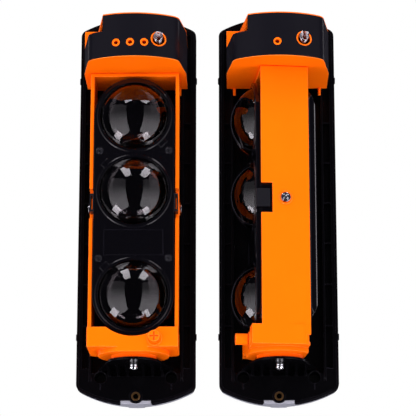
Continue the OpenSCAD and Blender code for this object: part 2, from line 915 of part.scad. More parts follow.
module pan_washer() {
    top = shelf_bottom - run_gap;
    color(chrome_metal)
        difference() {
            rod_z(0, 0, top - washer_t, top, pan_head_r);
            rod_z(0, 0, top - washer_t - over, top + over, pan_shank_r + screw_fit);
            block(
                [-washer_slit / 2, -pan_head_r - over, top - washer_t - over],
                [washer_slit / 2, 0, top + over]
            );
        }
}

module pan_screw() {
    head_z = shelf_bottom - run_gap - washer_t;
    color(chrome_metal)
        difference() {
            union() {
                rod_z(0, 0, head_z - pan_head_h, head_z, pan_head_r);
                translate([0, 0, head_z - pan_head_h - pan_tip_h])
                    cylinder(h = pan_tip_h, r1 = pan_tip_r, r2 = pan_head_r);
                rod_z(0, 0, head_z, frame_bottom + bar_t, pan_shank_r);
            }
            for (turn = [0, 90])
                translate([0, 0, head_z - pan_head_h - pan_tip_h + cross_deep / 2])
                    rotate([0, 0, turn])
                        cube([2 * pan_tip_r * cross_span_share, cross_w, 2 * cross_deep], center = true);
        }
}

// Front outline of the lens unit, set in by d
module stadium(d) {
    r = panel_half - d;
    translate([0, lens_lower_z]) circle(r = r);
    translate([0, lens_upper_z]) circle(r = r);
    translate([-r, lens_lower_z]) square([2 * r, lens_upper_z - lens_lower_z]);
}

// Plan of the lens unit behind its panel, set in by d, with rounded back edges
function box_plan(d) =
    let (x = panel_half - back_edge_r, y = box_rear - back_edge_r, r = back_edge_r - d)
    concat(
        [[-panel_half + d, panel_t - panel_front], [panel_half - d, panel_t - panel_front]],
        [for (i = [0 : edge_steps]) let (a = 90 * i / edge_steps) [x + r * cos(a), y + r * sin(a)]],
        [for (i = [edge_steps : -1 : 0]) let (a = 90 * i / edge_steps) [-x - r * cos(a), y + r * sin(a)]]
    );

// Side outline of the lens unit behind its panel, set in by d, with rounded back ends
function box_side(d) =
    let (y = box_rear - back_end_r, r = back_end_r - d)
    concat(
        [[panel_t - panel_front, box_top - d], [panel_t - panel_front, box_bottom + d]],
        [for (i = [0 : edge_steps]) let (a = -90 + 90 * i / edge_steps)
            [y + r * cos(a), box_bottom + back_end_r + r * sin(a)]],
        [for (i = [0 : edge_steps]) let (a = 90 * i / edge_steps)
            [y + r * cos(a), box_top - back_end_r + r * sin(a)]]
    );

module box_body(d) {
    intersection() {
        facing(panel_t - panel_front, box_rear + panel_front) stadium(d);
        upright(box_bottom - over, box_h + 2 * over) polygon(box_plan(d));
        sideways(-panel_w, 2 * panel_w) polygon(box_side(d));
    }
}

// Heights of the panel screws
function panel_screw_z() = [lens_middle_z + panel_screw_upper, lens_lower_z + panel_screw_lower];

module lens_box() {
    fork_y = tilt_back - fork_back;
    shaft_z = frame_bottom + knob_rise;
    board_face = box_rear - box_wall - optics_board_gap;
    screw_end = panel_screw_len - panel_front;
    shank_end = panel_half - tilt_shank_in;
    color(black_plastic)
        difference() {
            union() {
                difference() {
                    box_body(0);
                    difference() {
                        box_body(box_wall);
                        for (x = [-panel_screw_x, panel_screw_x], z = panel_screw_z())
                            rod_y(x, z, -panel_front, box_rear, screw_post_r);
                    }
                    facing(-panel_front, panel_t + over) stadium(box_wall);
                }
                intersection() {
                    for (z = [lens_middle_z - optics_post_gap, lens_middle_z + optics_post_gap])
                        rod_y(0, z, board_face, box_rear, optics_post_r);
                    box_body(0);
                }
                both_sides() rod_x(shank_end - box_wall, panel_half, tilt_back, tilt_z, tilt_boss_r);
                for (x = [knob_x - shaft_r - run_gap - fork_tine, knob_x + shaft_r + run_gap])
                    intersection() {
                        block(
                            [x, fork_y - fork_t / 2, shaft_z - fork_reach],
                            [x + fork_tine, fork_y + fork_t / 2, lens_lower_z]
                        );
                        difference() {
                            block([0, -arm_rear, frame_bottom], [panel_w, arm_rear, lens_lower_z]);
                            facing(-panel_front, box_rear + panel_front) stadium(box_wall / 2);
                        }
                    }
            }
            both_sides()
                rod_x(shank_end, panel_half + over, tilt_back, tilt_z, tilt_shank_r + screw_fit);
            for (x = [-panel_screw_x, panel_screw_x], z = panel_screw_z())
                rod_y(x, z, -panel_front, screw_end + over, panel_screw_shank_r + screw_fit);
        }
}

module lens_panel() {
    plate_z = (lens_middle_z + lens_lower_z) / 2;
    inner_w = plate_frame_w - 2 * plate_frame_line;
    inner_h = plate_frame_h - 2 * plate_frame_line;
    color(black_plastic)
        difference() {
            union() {
                facing(-panel_front, panel_t) stadium(0);
                for (z = [lens_lower_z, lens_middle_z, lens_upper_z])
                    rod_y(0, z, -panel_front - ring_h, panel_t - panel_front, lens_r + seat_fit + ring_t);
                lens_tab(lens_upper_z, -45);
                lens_tab(lens_middle_z, 135);
                lens_tab(lens_lower_z, 135);
                facing(-panel_front - plate_frame_raise, plate_frame_raise + plate_frame_line)
                    translate([0, plate_z])
                        difference() {
                            square([plate_frame_w, plate_frame_h], center = true);
                            square([inner_w, inner_h], center = true);
                        }
            }
            for (z = [lens_lower_z, lens_middle_z, lens_upper_z]) {
                rod_y(0, z, -panel_front - over, lens_seat - panel_front, lens_r + seat_fit);
                rod_y(0, z, -panel_front - over, panel_t - panel_front + over, lens_r - lens_lip);
            }
            for (x = [-panel_screw_x, panel_screw_x], z = panel_screw_z()) {
                rod_y(x, z, -panel_front - over, panel_screw_sink - panel_front, panel_screw_r + seat_fit);
                rod_y(x, z, -panel_front, panel_t - panel_front + over, panel_screw_shank_r + screw_fit);
            }
        }
}

// Small square pad beside a lens, at an angle around its centre
module lens_tab(z, angle) {
    facing(-panel_front - tab_raise, tab_raise + panel_t / 2)
        translate([0, z])
            rotate(angle)
                translate([tab_reach, 0]) square([tab_w, tab_w], center = true);
}

module lens(z) {
    dome_r = (pow(lens_r, 2) + pow(lens_h, 2)) / (2 * lens_h);
    half_angle = asin(lens_r / dome_r);
    color(lens_tint)
        translate([0, -panel_front, z])
            rotate([90, 0, 0])
                rotate_extrude()
                    polygon(concat(
                        [[0, -lens_seat], [lens_r, -lens_seat]],
                        [for (i = [0 : bow_steps]) let (a = half_angle * (1 - i / bow_steps))
                            [dome_r * sin(a), dome_r * cos(a) - dome_r + lens_h]]
                    ));
}

module panel_screws() {
    color(component_black)
        for (x = [-panel_screw_x, panel_screw_x], z = panel_screw_z())
            difference() {
                union() {
                    rod_y(x, z, -panel_front, panel_screw_sink - panel_front, panel_screw_r);
                    rod_y(x, z, -panel_front, panel_screw_len - panel_front, panel_screw_shank_r);
                }
                cross_recess(x, z, cross_deep - panel_front, panel_screw_r, 45);
            }
}

module sight_windows() {
    open_half = sight_h / 2 - 2 * sight_wall;
    color(black_plastic)
        both_sides()
            difference() {
                block(
                    [panel_half, -panel_front, tilt_z - sight_h / 2],
                    [panel_half + sight_w, -sight_back, tilt_z + sight_h / 2]
                );
                block(
                    [panel_half + sight_wall, -panel_front - over, tilt_z - open_half],
                    [panel_half + sight_w - sight_wall, over - sight_back, tilt_z + open_half]
                );
            }
}

module optics_board() {
    face = box_rear - box_wall - optics_board_gap;
    color(component_black)
        block(
            [-optics_board_w / 2, face - board_t, lens_lower_z - sensor_base_r],
            [optics_board_w / 2, face, lens_upper_z + sensor_base_r]
        );
}

module sensors() {
    face = box_rear - box_wall - optics_board_gap - board_t;
    color(component_black)
        for (z = [lens_lower_z, lens_middle_z, lens_upper_z]) {
            rod_y(0, z, face - sensor_base_h, face, sensor_base_r);
            rod_y(0, z, face - sensor_h, face - sensor_base_h, sensor_r);
        }
}

module tilt_screws() {
    head_x = frame_half - collar_raise + run_gap;
    cross_span = 2 * screw_head_r * cross_span_share;
    color(chrome_metal)
        both_sides()
            difference() {
                union() {
                    rod_x(panel_half - tilt_shank_in, head_x, tilt_back, tilt_z, tilt_shank_r);
                    rod_x(head_x, head_x + screw_head_t, tilt_back, tilt_z, screw_head_r);
                }
                for (turn = [45, 135])
                    translate([head_x + screw_head_t, tilt_back, tilt_z])
                        rotate([turn, 0, 0])
                            cube([2 * cross_deep, cross_span, cross_w], center = true);
            }
}

module tilt_knob() {
    knob_z = frame_bottom + knob_rise;
    back = -foot_front - knob_collar_t - knob_stand;
    color(orange_plastic)
        difference() {
            rod_y(knob_x, knob_z, back - knob_len, back, knob_r);
            cross_recess(knob_x, knob_z, back - knob_len + cross_deep, knob_r, 0);
            rod_y(knob_x, knob_z, back - knob_len / 2, back + over, shaft_r + screw_fit);
        }
}

module tilt_shaft() {
    knob_z = frame_bottom + knob_rise;
    back = -foot_front - knob_collar_t - knob_stand;
    color(chrome_metal) rod_y(knob_x, knob_z, back - knob_len / 2, shaft_rear, shaft_r);
}

module receiver_wall_plate() { in_unit(receiver) wall_plate(); }
module receiver_base() { in_unit(receiver) base_shell(); }
module receiver_cover_insert() { in_unit(receiver) cover_insert(); }
module receiver_head_housing() { in_unit(receiver) head_housing(receiver); }
module receiver_head_legs() { in_unit(receiver) head_legs(); }
module receiver_head_fascia() { in_unit(receiver) head_fascia(receiver); }
module receiver_head_board() { in_unit(receiver) head_board(receiver); }
module receiver_indicator_lamps() { in_unit(receiver) indicator_lamps(receiver); }
module receiver_tamper_switch() { in_unit(receiver) tamper_switch(); }
module receiver_tamper_plunger() { in_unit(receiver) tamper_plunger(); }
module receiver_tamper_spring() { in_unit(receiver) tamper_spring(); }
module receiver_swing_frame() { in_unit(receiver) on_pan(0) swing_frame(); }
module receiver_pan_screw() { in_unit(receiver) on_pan(0) pan_screw(); }
module receiver_pan_washer() { in_unit(receiver) on_pan(0) pan_washer(); }
module receiver_lens_box() { in_unit(receiver) on_pan(0) lens_box(); }
module receiver_lens_panel() { in_unit(receiver) on_pan(0) lens_panel(); }
module receiver_lens_upper() { in_unit(receiver) on_pan(0) lens(lens_upper_z); }
module receiver_lens_middle() { in_unit(receiver) on_pan(0) lens(lens_middle_z); }
module receiver_lens_lower() { in_unit(receiver) on_pan(0) lens(lens_lower_z); }
module receiver_panel_screws() { in_unit(receiver) on_pan(0) panel_screws(); }
module receiver_sight_windows() { in_unit(receiver) on_pan(0) sight_windows(); }
module receiver_optics_board() { in_unit(receiver) on_pan(0) optics_board(); }
module receiver_photodiodes() { in_unit(receiver) on_pan(0) sensors(); }
module receiver_tilt_screws() { in_unit(receiver) on_pan(0) tilt_screws(); }
module receiver_tilt_knob() { in_unit(receiver) on_pan(0) tilt_knob(); }
module receiver_tilt_shaft() { in_unit(receiver) on_pan(0) tilt_shaft(); }
module transmitter_wall_plate() { in_unit(transmitter) wall_plate(); }
module transmitter_base() { in_unit(transmitter) base_shell(); }
module transmitter_cover_insert() { in_unit(transmitter) cover_insert(); }
module transmitter_head_housing() { in_unit(transmitter) head_housing(transmitter); }
module transmitter_head_legs() { in_unit(transmitter) head_legs(); }
module transmitter_head_fascia() { in_unit(transmitter) head_fascia(transmitter); }
module transmitter_head_board() { in_unit(transmitter) head_board(transmitter); }
module transmitter_indicator_lamp() { in_unit(transmitter) indicator_lamps(transmitter); }
module transmitter_tamper_switch() { in_unit(transmitter) tamper_switch(); }
module transmitter_tamper_plunger() { in_unit(transmitter) tamper_plunger(); }
module transmitter_tamper_spring() { in_unit(transmitter) tamper_spring(); }
module transmitter_swing_frame() { in_unit(transmitter) on_pan(transmitter_rest) swing_frame(); }
module transmitter_pan_screw() { in_unit(transmitter) on_pan(0) pan_screw(); }
module transmitter_pan_washer() { in_unit(transmitter) on_pan(0) pan_washer(); }
module transmitter_lens_box() { in_unit(transmitter) on_pan(transmitter_rest) lens_box(); }
module transmitter_lens_panel() { in_unit(transmitter) on_pan(transmitter_rest) lens_panel(); }
module transmitter_lens_upper() { in_unit(transmitter) on_pan(transmitter_rest) lens(lens_upper_z); }
module transmitter_lens_middle() { in_unit(transmitter) on_pan(transmitter_rest) lens(lens_middle_z); }
module transmitter_lens_lower() { in_unit(transmitter) on_pan(transmitter_rest) lens(lens_lower_z); }
module transmitter_panel_screws() { in_unit(transmitter) on_pan(transmitter_rest) panel_screws(); }
module transmitter_sight_windows() { in_unit(transmitter) on_pan(transmitter_rest) sight_windows(); }
module transmitter_optics_board() { in_unit(transmitter) on_pan(transmitter_rest) optics_board(); }
module transmitter_infrared_emitters() { in_unit(transmitter) on_pan(transmitter_rest) sensors(); }
module transmitter_tilt_screws() { in_unit(transmitter) on_pan(transmitter_rest) tilt_screws(); }
module transmitter_tilt_knob() { in_unit(transmitter) on_pan(transmitter_rest) tilt_knob(); }
module transmitter_tilt_shaft() { in_unit(transmitter) on_pan(transmitter_rest) tilt_shaft(); }

receiver_wall_plate();
receiver_base();
receiver_cover_insert();
receiver_head_housing();
receiver_head_legs();
receiver_head_fascia();
receiver_head_board();
receiver_indicator_lamps();
receiver_tamper_switch();
receiver_tamper_plunger();
receiver_tamper_spring();
receiver_swing_frame();
receiver_pan_screw();
receiver_pan_washer();
receiver_lens_box();
receiver_lens_panel();
receiver_lens_upper();
receiver_lens_middle();
receiver_lens_lower();
receiver_panel_screws();
receiver_sight_windows();
receiver_optics_board();
receiver_photodiodes();
receiver_tilt_screws();
receiver_tilt_knob();
receiver_tilt_shaft();
transmitter_wall_plate();
transmitter_base();
transmitter_cover_insert();
transmitter_head_housing();
transmitter_head_legs();
transmitter_head_fascia();
transmitter_head_board();
transmitter_indicator_lamp();
transmitter_tamper_switch();
transmitter_tamper_plunger();
transmitter_tamper_spring();
transmitter_swing_frame();
transmitter_pan_screw();
transmitter_pan_washer();
transmitter_lens_box();
transmitter_lens_panel();
transmitter_lens_upper();
transmitter_lens_middle();
transmitter_lens_lower();
transmitter_panel_screws();
transmitter_sight_windows();
transmitter_optics_board();
transmitter_infrared_emitters();
transmitter_tilt_screws();
transmitter_tilt_knob();
transmitter_tilt_shaft();
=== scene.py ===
# %% [markdown]
# # A pair of beam detectors, dressed for the studio
# The solids come from the construction model as a fixed frame: every node already sits where it belongs.
# Here they get soft moulded edges, clear lenses, wire springs and finishes made of shader nodes.
# Nothing is moved. A piece that needs more than a finish is rebuilt in its own place and stands for its node.

# %% Load the frame
import bpy
import bmesh
import json
from math import asin, cos, pi, radians, sin
from mathutils import Matrix, Vector


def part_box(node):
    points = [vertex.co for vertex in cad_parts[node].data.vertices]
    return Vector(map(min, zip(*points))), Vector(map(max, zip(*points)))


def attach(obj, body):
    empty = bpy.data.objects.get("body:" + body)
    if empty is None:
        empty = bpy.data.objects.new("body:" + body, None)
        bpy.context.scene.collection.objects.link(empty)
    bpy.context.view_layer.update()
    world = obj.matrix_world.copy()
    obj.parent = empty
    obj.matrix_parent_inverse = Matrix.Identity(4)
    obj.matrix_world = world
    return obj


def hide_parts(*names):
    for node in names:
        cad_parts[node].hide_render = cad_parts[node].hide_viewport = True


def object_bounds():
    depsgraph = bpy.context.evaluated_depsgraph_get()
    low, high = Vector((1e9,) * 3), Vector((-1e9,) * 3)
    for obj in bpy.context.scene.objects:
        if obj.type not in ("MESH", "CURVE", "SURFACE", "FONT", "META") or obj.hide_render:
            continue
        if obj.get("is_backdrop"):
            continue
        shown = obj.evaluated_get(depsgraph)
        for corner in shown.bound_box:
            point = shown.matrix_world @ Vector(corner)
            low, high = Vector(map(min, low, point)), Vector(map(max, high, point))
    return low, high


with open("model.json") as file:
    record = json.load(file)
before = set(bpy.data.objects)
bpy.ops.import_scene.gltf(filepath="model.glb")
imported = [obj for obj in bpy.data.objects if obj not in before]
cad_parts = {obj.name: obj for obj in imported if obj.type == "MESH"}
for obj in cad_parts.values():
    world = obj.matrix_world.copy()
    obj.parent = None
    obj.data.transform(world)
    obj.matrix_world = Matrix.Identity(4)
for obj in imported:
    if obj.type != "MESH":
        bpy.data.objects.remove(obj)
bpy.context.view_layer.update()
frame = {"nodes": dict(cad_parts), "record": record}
mm = 0.001

# %% [markdown]
# The photograph looks up at the pair from below with a long lens, so edges that run away from the eye stay
# nearly parallel. The camera's place and angle come from matching the part's corners to the picture. An
# empty target and a track constraint would also aim it, but plain angles are easier to keep exact.

# %% Camera
SENSOR_WIDTH = 36
PHOTO_WIDTH = 416
FOCAL_PIXELS = 2019.91
EYE = (19.15 * mm, -1287.61 * mm, -324.80 * mm)
PITCH, YAW = 0.24964, 0.01478
NEAREST, FARTHEST = 0.05, 20

camera_data = bpy.data.cameras.new("camera")
camera_data.sensor_width = SENSOR_WIDTH
camera_data.lens = SENSOR_WIDTH * FOCAL_PIXELS / PHOTO_WIDTH
camera_data.clip_start = NEAREST
camera_data.clip_end = FARTHEST
camera = bpy.data.objects.new("camera", camera_data)
camera.location = EYE
camera.rotation_euler = (pi / 2 + PITCH, 0, YAW)
bpy.context.scene.collection.objects.link(camera)
bpy.context.scene.camera = camera
print("lens", round(camera_data.lens, 1), "mm")

# %% [markdown]
# The lenses are mirrors that show the studio: two tall soft panels left and right of the camera with a dark
# gap between them, and four bright windows, two high and two low. A window's place in the mirror gives its
# direction, so each light is put along a direction from the part. Area lights are soft, stay out of the
# picture and still show as shapes in a polished surface. The panels fade from one end to the other, as a
# softbox does.
#
# Orange plastic needs more light than the mirrors may show. Four fills give it from the front, from below and
# from the left, and are hidden from glossy and clear surfaces. Two narrow strips behind the part draw a thin
# line along its outer edges, which parts black plastic from a white backdrop.

# %% Studio lights
LIGHT_COLOUR = (0.98, 0.93, 1.0)
AIM = Vector((0, -0.06, 0))
UP, INWARD = (0, 0, 1), (0, 1, 0)
FADE_BAND = (0.25, 0.8)


def faded(light_data, fade):
    """Makes a light brighter at one end and dimmer at the other."""
    light_data.use_nodes = True
    tree = light_data.node_tree
    place = tree.nodes.new("ShaderNodeSeparateXYZ")
    tree.links.new(tree.nodes.new("ShaderNodeNewGeometry").outputs["Parametric"], place.inputs[0])
    ramp = tree.nodes.new("ShaderNodeMapRange")
    ramp.interpolation_type = "SMOOTHSTEP"
    ends = (*FADE_BAND, 1.0 + fade, 1.0 - fade)
    for label, value in zip(("From Min", "From Max", "To Min", "To Max"), ends):
        ramp.inputs[label].default_value = value
    tree.links.new(place.outputs["Y"], ramp.inputs["Value"])
    tree.links.new(ramp.outputs["Result"], tree.nodes["Emission"].inputs["Strength"])


def soft_light(name, direction, distance, size, radiance, lengthwise=UP):
    """An area light that faces the part from a direction. Its radiance is its brightness in a mirror."""
    light_data = bpy.data.lights.new(name, "AREA")
    light_data.shape = "RECTANGLE"
    light_data.size, light_data.size_y = size
    light_data.energy = radiance * pi * size[0] * size[1]
    light_data.color = LIGHT_COLOUR
    light = bpy.data.objects.new(name, light_data)
    back = Vector(direction).normalized()
    across = Vector(lengthwise).cross(back).normalized()
    turned = Matrix((across, back.cross(across), back)).transposed().to_4x4()
    light.matrix_world = Matrix.Translation(AIM + back * distance) @ turned
    bpy.context.scene.collection.objects.link(light)
    return light


for name, side in (("left_panel", -1), ("right_panel", 1)):
    panel = soft_light(name, (side * 0.80, -0.58, -0.14), 1.15, (1.25, 2.2), 1.35)
    faded(panel.data, 0.75)
for name, direction, radiance in (
    ("front_fill", (0.12, -0.88, 0.42), 2.8), ("eye_fill", (0.0, -0.93, -0.36), 2.6),
    ("under_fill", (0.0, -0.62, -0.78), 1.4), ("left_fill", (-0.94, -0.34, 0.0), 1.6),
):
    fill = soft_light(name, direction, 1.4, (1.0, 1.0), radiance)
    fill.visible_glossy = False
    fill.visible_transmission = False
for name, direction, height in (
    ("high_left", (-0.36, -0.36, 0.86), 0.7), ("high_right", (0.41, -0.34, 0.85), 0.7),
    ("low_left", (-0.756, -0.126, -0.642), 0.42), ("low_right", (0.505, -0.265, -0.822), 0.42),
):
    soft_light(f"window_{name}", direction, 1.0, (0.3, height), 7.5, lengthwise=INWARD)
for side in (-1, 1):
    soft_light(f"rim_{side}", (side * 0.72, 0.66, 0.12), 1.1, (0.14, 1.6), 1.8)

# %% [markdown]
# The backdrop is white to the camera alone. What the part mirrors is a dark room, which keeps the blacks
# black, and a dim sky fills the shadows. The Light Path node tells the three kinds of ray apart. In a real
# studio, black cloth out of the picture does the same.
#
# The pale floor lies far below, out of the photograph's view. It shows to the camera and to nothing else, so
# it throws no light up at the part.

# %% World and floor
WHITE = ((1, 1, 1), 1.0)
DIM_SKY = ((0.85, 0.9, 1.0), 0.16)
DARK_ROOM = ((0.75, 0.7, 1.0), 0.035)
FLOOR_HEIGHT = -0.95
FLOOR_REACH = 3

world = bpy.data.worlds.new("studio")
bpy.context.scene.world = world
world.use_nodes = True
world_tree = world.node_tree
world_tree.nodes.clear()
ray = world_tree.nodes.new("ShaderNodeLightPath")


def background(colour, strength):
    node = world_tree.nodes.new("ShaderNodeBackground")
    node.inputs["Color"].default_value = (*colour, 1)
    node.inputs["Strength"].default_value = strength
    return node.outputs[0]


def choose(factor, first, second):
    """The first where the factor is 0 and the second where it is 1."""
    node = world_tree.nodes.new("ShaderNodeMixShader")
    world_tree.links.new(factor, node.inputs["Fac"])
    world_tree.links.new(first, node.inputs[1])
    world_tree.links.new(second, node.inputs[2])
    return node.outputs[0]


dim = choose(ray.outputs["Is Glossy Ray"], background(*DIM_SKY), background(*DARK_ROOM))
lit = choose(ray.outputs["Is Camera Ray"], dim, background(*WHITE))
world_tree.links.new(lit, world_tree.nodes.new("ShaderNodeOutputWorld").inputs["Surface"])
bpy.context.scene.view_settings.view_transform = "Standard"

corners = [
    (x * FLOOR_REACH, y * FLOOR_REACH, FLOOR_HEIGHT) for x, y in ((-1, -1), (1, -1), (1, 1), (-1, 1))
]
floor_mesh = bpy.data.meshes.new("floor")
floor_mesh.from_pydata(corners, [], [(0, 1, 2, 3)])
floor = bpy.data.objects.new("floor", floor_mesh)
bpy.context.scene.collection.objects.link(floor)
floor.visible_diffuse = floor.visible_glossy = floor.visible_transmission = False
floor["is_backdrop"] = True
print("world", len(world_tree.nodes), "nodes")

# %% [markdown]
# Moulded plastic is never quite flat in colour or gloss. The tool's spark-eroded skin gives it a fine grain,
# and handling rubs the grain smooth in broad, soft patches. One shader group makes both from noise in object
# coordinates, and every material takes it with its own values, so the grain has one scale on all pieces.

# %% Shader group for moulded grain
COLOUR, VALUE = "NodeSocketColor", "NodeSocketFloat"
WHITE_INPUT = (1.0, 1.0, 1.0, 1.0)


def new_group(name, inputs, outputs):
    group = bpy.data.node_groups.new(name, "ShaderNodeTree")
    for label, value in inputs.items():
        kind = COLOUR if isinstance(value, tuple) else VALUE
        group.interface.new_socket(label, in_out="INPUT", socket_type=kind).default_value = value
    for label, kind in outputs.items():
        group.interface.new_socket(label, in_out="OUTPUT", socket_type=kind)
    return group, group.nodes.new("NodeGroupInput"), group.nodes.new("NodeGroupOutput")


def feed(tree, socket, source):
    """A socket takes a plain number or the output of another node."""
    if isinstance(source, (int, float)):
        socket.default_value = source
    else:
        tree.links.new(source, socket)


def math_node(tree, operation, first, second, clamp=False):
    node = tree.nodes.new("ShaderNodeMath")
    node.operation = operation
    node.use_clamp = clamp
    feed(tree, node.inputs[0], first)
    feed(tree, node.inputs[1], second)
    return node.outputs[0]


def noise_node(tree, where, scale, detail):
    node = tree.nodes.new("ShaderNodeTexNoise")
    node.inputs["Detail"].default_value = detail
    feed(tree, node.inputs["Vector"], where)
    feed(tree, node.inputs["Scale"], scale)
    return node.outputs["Fac"]


def mix_node(tree, factor, first, second):
    node = tree.nodes.new("ShaderNodeMix")
    node.data_type = "RGBA"
    for label, source in (("Factor", factor), ("A", first), ("B", second)):
        tree.links.new(source, node.inputs[label])
    return node.outputs["Result"]


PATCHES_PER_METRE = 38

grain_group, grain_in, grain_out = new_group(
    "moulded_grain",
    {"Colour": WHITE_INPUT, "Rubbed": WHITE_INPUT, "Roughness": 0.4, "Swing": 0.1, "Grain": 4000.0},
    {"Colour": COLOUR, "Roughness": VALUE, "Height": VALUE},
)
where = grain_group.nodes.new("ShaderNodeTexCoord").outputs["Object"]
patches = noise_node(grain_group, where, PATCHES_PER_METRE, 4)
pits = noise_node(grain_group, where, grain_in.outputs["Grain"], 1)
tinted = mix_node(grain_group, patches, grain_in.outputs["Colour"], grain_in.outputs["Rubbed"])
centred = math_node(grain_group, "SUBTRACT", patches, 0.5)
swing = math_node(grain_group, "MULTIPLY", centred, grain_in.outputs["Swing"])
gloss = math_node(grain_group, "ADD", grain_in.outputs["Roughness"], swing, clamp=True)
for label, source in (("Colour", tinted), ("Roughness", gloss), ("Height", pits)):
    grain_group.links.new(source, grain_out.inputs[label])
print("group", grain_group.name)

# %% [markdown]
# Edges of a moulding catch the light first. A second group finds them by comparing the surface's own
# direction with a rounded one, and paints a highlight there by lightening the colour, broken into patches by
# noise.
# Pointiness would need a dense mesh, and a painted mask would need UVs, so the Bevel node is the simple way.
# The same group paints shade into recesses and seams by darkening the colour there, where light reaches the
# eye only after it has met the plastic more than once.

# %% Shader group for painted edge highlights and recess shade
EDGE_RADIUS = 0.45 * mm
EDGE_GAIN = 3.0
EDGE_PATCHES_PER_METRE = 260

edge_group, edge_in, edge_out = new_group(
    "edge_highlight_and_recess_shade",
    {
        "Colour": WHITE_INPUT, "Edge Highlight": WHITE_INPUT, "Recess Shade": WHITE_INPUT,
        "Strength": 0.5, "Reach": 0.002, "Shade": 1.0,
    },
    {"Colour": COLOUR},
)
rounded = edge_group.nodes.new("ShaderNodeBevel")
rounded.samples = 4
rounded.inputs["Radius"].default_value = EDGE_RADIUS
facing = edge_group.nodes.new("ShaderNodeNewGeometry")
agree = edge_group.nodes.new("ShaderNodeVectorMath")
agree.operation = "DOT_PRODUCT"
edge_group.links.new(rounded.outputs["Normal"], agree.inputs[0])
edge_group.links.new(facing.outputs["Normal"], agree.inputs[1])
# Where the rounded and the true directions part, the edge gets a painted highlight.
apart = math_node(edge_group, "SUBTRACT", 1.0, agree.outputs["Value"])
apart = math_node(edge_group, "MULTIPLY", apart, EDGE_GAIN, clamp=True)
where = edge_group.nodes.new("ShaderNodeTexCoord").outputs["Object"]
# Noise breaks the painted edge highlight into patches.
edge_patches = noise_node(edge_group, where, EDGE_PATCHES_PER_METRE, 3)
edge_highlight_mask = math_node(edge_group, "MULTIPLY", apart, edge_patches)
edge_highlight_mask = math_node(edge_group, "MULTIPLY", edge_highlight_mask, edge_in.outputs["Strength"], clamp=True)
lightened = mix_node(edge_group, edge_highlight_mask, edge_in.outputs["Colour"], edge_in.outputs["Edge Highlight"])
# Ambient occlusion finds recesses and seams, and painted shade darkens the colour there.
hollow = edge_group.nodes.new("ShaderNodeAmbientOcclusion")
hollow.samples = 6
edge_group.links.new(edge_in.outputs["Reach"], hollow.inputs["Distance"])
recess_shade_mask = math_node(edge_group, "SUBTRACT", 1.0, hollow.outputs["AO"])
recess_shade_mask = math_node(edge_group, "MULTIPLY", recess_shade_mask, edge_in.outputs["Shade"], clamp=True)
recess_shaded = mix_node(edge_group, recess_shade_mask, lightened, edge_in.outputs["Recess Shade"])
edge_group.links.new(recess_shaded, edge_out.inputs["Colour"])
print("group", edge_group.name)

# %% [markdown]
# Each finish is one material. The two groups give its colour, gloss and grain, and what is the same all over,
# such as metal or clear coat, is set on the shader itself. The values say how the finish meets the light:
# swing is how far the gloss wanders and grain how fine the skin is. The edge colour and its strength paint a
# highlight on the edges. The recess colour, reach and shaded paint shade into the recesses: its colour, how
# far it reaches and how strongly it shows.
#
# Light goes a little way into orange plastic, so its edges glow and its corners turn red. Subsurface
# scattering would show that too, but it takes far longer, so the painted edge highlight and the painted shade
# in the recesses stand in for it.

# %% Finishes
COAT_ROUGHNESS = 0.12
GRAIN_DEPTH = 0.1 * mm
# RUBBED darkens the colour in random patches. The second number is the factor on the base colour for the
# painted shade in recesses.
RUBBED, RECESS_SHADE_FACTOR = 0.88, 0.7


def shade(colour, factor):
    return tuple(min(1.0, c * factor) for c in colour[:3]) + (1.0,)


def set_inputs(node, values):
    for label, value in values.items():
        node.inputs[label].default_value = value


def finish(
    name, colour, roughness, swing=0.08, grain=4000.0, bump=0.05, metallic=0.0, edge=1.6, wear=0.5, coat=0.0,
    deep=None, reach=2.0, shaded=1.0, **plain,
):
    """A material. The edge colour, given as a colour or a factor on the base colour, is a painted edge
    highlight, and reach is how far the painted shade in recesses reaches, in mm.
    """
    material = bpy.data.materials.new(name)
    material.use_nodes = True
    tree = material.node_tree
    shader = tree.nodes["Principled BSDF"]
    set_inputs(shader, {"Metallic": metallic, "Coat Weight": coat, "Coat Roughness": COAT_ROUGHNESS})
    set_inputs(shader, {label.replace("_", " "): value for label, value in plain.items()})
    grained = tree.nodes.new("ShaderNodeGroup")
    grained.node_tree = grain_group
    set_inputs(grained, {
        "Colour": shade(colour, 1.0), "Rubbed": shade(colour, RUBBED),
        "Roughness": roughness, "Swing": swing, "Grain": grain,
    })
    # The second group paints a highlight on the edges and paints shade into the recesses.
    edges = tree.nodes.new("ShaderNodeGroup")
    edges.node_tree = edge_group
    set_inputs(edges, {
        "Edge Highlight": (*edge, 1.0) if isinstance(edge, tuple) else shade(colour, edge),
        "Recess Shade": (*deep, 1.0) if deep else shade(colour, RECESS_SHADE_FACTOR),
        "Strength": wear, "Reach": reach * mm, "Shade": shaded,
    })
    bumped = tree.nodes.new("ShaderNodeBump")
    set_inputs(bumped, {"Strength": bump, "Distance": GRAIN_DEPTH})
    tree.links.new(grained.outputs["Colour"], edges.inputs["Colour"])
    tree.links.new(edges.outputs["Colour"], shader.inputs["Base Color"])
    tree.links.new(grained.outputs["Roughness"], shader.inputs["Roughness"])
    tree.links.new(grained.outputs["Height"], bumped.inputs["Height"])
    tree.links.new(bumped.outputs["Normal"], shader.inputs["Normal"])
    return material


